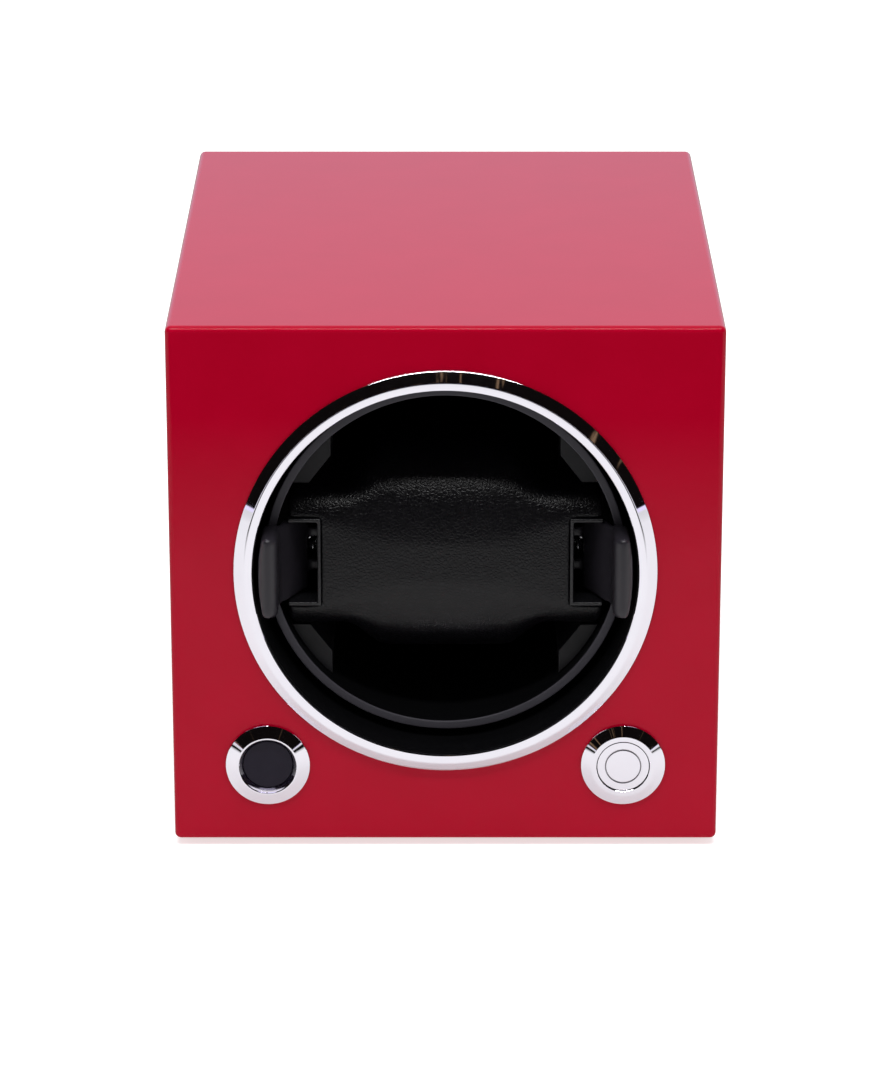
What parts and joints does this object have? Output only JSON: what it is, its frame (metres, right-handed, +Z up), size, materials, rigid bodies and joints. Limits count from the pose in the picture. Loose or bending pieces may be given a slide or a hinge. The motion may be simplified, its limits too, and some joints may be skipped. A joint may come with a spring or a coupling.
{
  "type": "watch winder",
  "caption": "Lacquered box with a round chromed window, where a motor-driven drum turns a padded cuff that carries a wristwatch, with a push button and an indicator on its front.",
  "frame": {"origin": "middle of the box's outline on the surface that it stands on", "axes": "+X to the right seen from the front, +Y from the front to the back, +Z up"},
  "size_m": [0.115, 0.1494, 0.115],
  "materials": {
    "red_lacquer": "gloss lacquer",
    "chrome": "polished",
    "well_black": "satin moulded",
    "drum_grey": "satin moulded",
    "cuff_leather": "grained leatherette",
    "trim_black": "turned edge",
    "core_black": "moulded",
    "clip_black": "soft-touch",
    "spring_steel": "drawn wire",
    "screw_steel": "zinc plated",
    "black_screws": "black zinc",
    "shaft_steel": "ground",
    "bronze": "sintered bronze",
    "gear_nylon": "moulded",
    "pinion_brass": "machined",
    "gearhead_zinc": "die cast",
    "motor_steel": "drawn can",
    "plate_steel": "plated sheet",
    "smoked_lens": "polished",
    "black_plastic": "moulded",
    "lamp_clear": "clear resin",
    "board_green": "solder mask",
    "socket_white": "moulded",
    "lead_black": "sleeved",
    "panel_black": "painted fibreboard",
    "block_wood": "bare",
    "foot_rubber": "moulded"
  },
  "bodies": {
    "cabinet": {"bezel_ring": "chrome", "board_chips": "black_plastic", "board_pillars": "socket_white", "board_screws": "screw_steel", "board_sockets": "socket_white", "button_bezel": "chrome", "button_lead": "lead_black", "button_nut": "plate_steel", "button_spring": "spring_steel", "button_switch": "black_plastic", "cabinet_shell": "red_lacquer", "control_board": "board_green", "corner_blocks": "block_wood", "dc_jack": "black_plastic", "front_bush": "bronze", "gearhead": "gearhead_zinc", "housing_screws": "screw_steel", "indicator_bezel": "chrome", "indicator_lamps": "lamp_clear", "indicator_lead": "lead_black", "indicator_lens": "smoked_lens", "indicator_nut": "plate_steel", "indicator_spacer": "black_plastic", "jack_lead": "lead_black", "jack_nut": "plate_steel", "jack_pin": "pinion_brass", "lamp_board": "board_green", "motor_can": "motor_steel", "motor_lead": "lead_black", "motor_plate": "plate_steel", "motor_screws": "screw_steel", "plate_posts": "plate_steel", "plate_screws": "screw_steel", "post_screws": "screw_steel", "rear_bush": "bronze", "rear_panel": "panel_black", "rear_screws": "black_screws", "rotor_housing": "well_black", "rubber_feet": "foot_rubber"},
    "drum": {"rotor_drum": "drum_grey", "left_cradle": "drum_grey", "right_cradle": "drum_grey", "cradle_screws": "screw_steel", "hub_screw": "screw_steel", "drum_shaft": "shaft_steel", "drum_gear": "gear_nylon", "shaft_clip": "shaft_steel"},
    "pinion": {"motor_pinion": "pinion_brass", "pinion_shaft": "shaft_steel"},
    "holder": {"cuff_pad": "cuff_leather", "holder_core": "core_black", "left_notch_trim": "trim_black", "right_notch_trim": "trim_black", "left_clip_spring": "spring_steel", "right_clip_spring": "spring_steel"},
    "left_clip": {"left_clip": "clip_black"},
    "right_clip": {"right_clip": "clip_black"},
    "button": {"push_button": "chrome"}
  },
  "joints": [
    {"name": "drum_spin", "type": "hinge", "parent": "cabinet", "child": "drum", "pos_m": [0, 0.00225, 0.06165], "axis": [0, 1, 0], "continuous": true},
    {"name": "pinion_spin", "type": "hinge", "parent": "cabinet", "child": "pinion", "pos_m": [0, 0.01365, 0.03645], "axis": [0, 1, 0], "continuous": true},
    {"name": "holder_pull", "type": "slide", "parent": "drum", "child": "holder", "axis": [0, -1, 0], "range_m": [0, 0.06]},
    {"name": "left_clip_squeeze", "type": "slide", "parent": "holder", "child": "left_clip", "axis": [1, 0, 0], "range_m": [0, 0.0025], "stiffness_N_per_m": 600, "springref_m": -0.001, "deforming": ["left_clip_spring"]},
    {"name": "right_clip_squeeze", "type": "slide", "parent": "holder", "child": "right_clip", "axis": [-1, 0, 0], "range_m": [0, 0.0025], "stiffness_N_per_m": 600, "springref_m": -0.001, "deforming": ["right_clip_spring"]},
    {"name": "button_press", "type": "slide", "parent": "cabinet", "child": "button", "axis": [0, 1, 0], "range_m": [0, 0.001], "stiffness_N_per_m": 1500, "springref_m": -0.0005, "deforming": ["button_spring"]}
  ],
  "couplings": [
    {"joint": "pinion_spin", "follows": "drum_spin", "ratio": -3}
  ]
}
